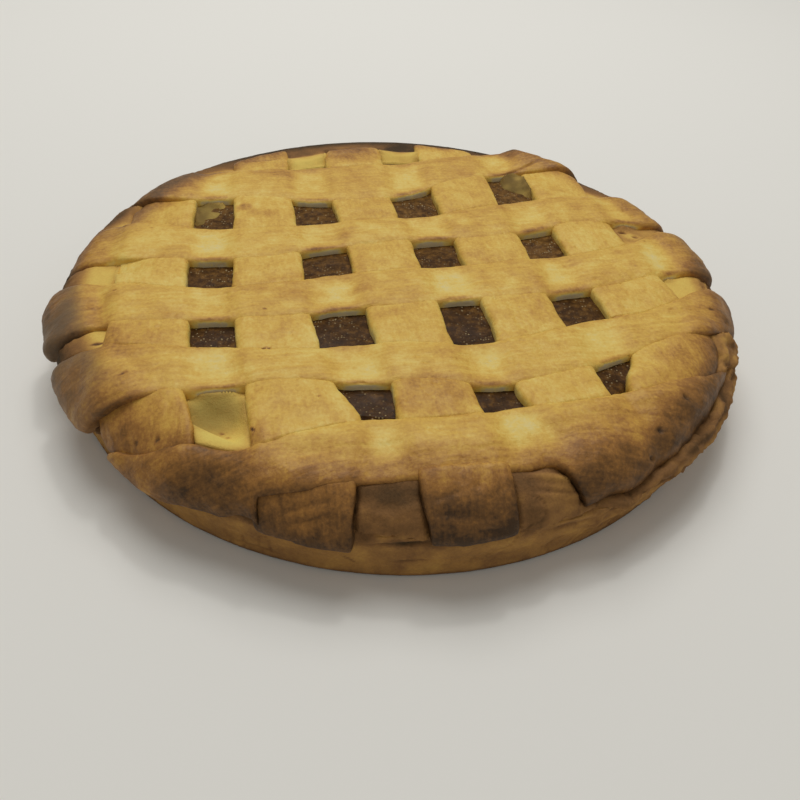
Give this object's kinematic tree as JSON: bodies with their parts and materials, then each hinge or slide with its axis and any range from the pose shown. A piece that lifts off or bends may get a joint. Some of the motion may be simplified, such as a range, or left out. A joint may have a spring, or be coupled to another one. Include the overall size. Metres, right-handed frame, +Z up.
{
  "type": "lattice fruit kuchen",
  "caption": "Round shallow fruit kuchen: baked dough base, dark jam filling and a lattice of dough strips laid across each other and over the rim.",
  "frame": {"origin": "middle of the flat underside", "axes": "+Z up, away from the face it rests on; +Y towards the far side as served, -Y towards the side where the strip ends hang lowest"},
  "size_m": [0.2355, 0.2372, 0.0356],
  "materials": {
    "base_crust": "baked dough, dry and crumbly",
    "fruit_filling": "dark sticky fruit jam, glossy and grainy",
    "strips_down": "pale golden baked dough with a thin egg wash",
    "strips_across": "golden to brown baked dough with a thin egg wash"
  },
  "bodies": {
    "root": {"base_crust": "base_crust", "fruit_filling": "fruit_filling", "strip_down_0": "strips_down", "strip_down_1": "strips_down", "strip_down_2": "strips_down", "strip_down_3": "strips_down", "strip_down_4": "strips_down", "strip_across_1": "strips_across", "strip_across_2": "strips_across", "strip_across_3": "strips_across", "strip_across_4": "strips_across", "strip_across_5": "strips_across"}
  },
  "joints": []
}
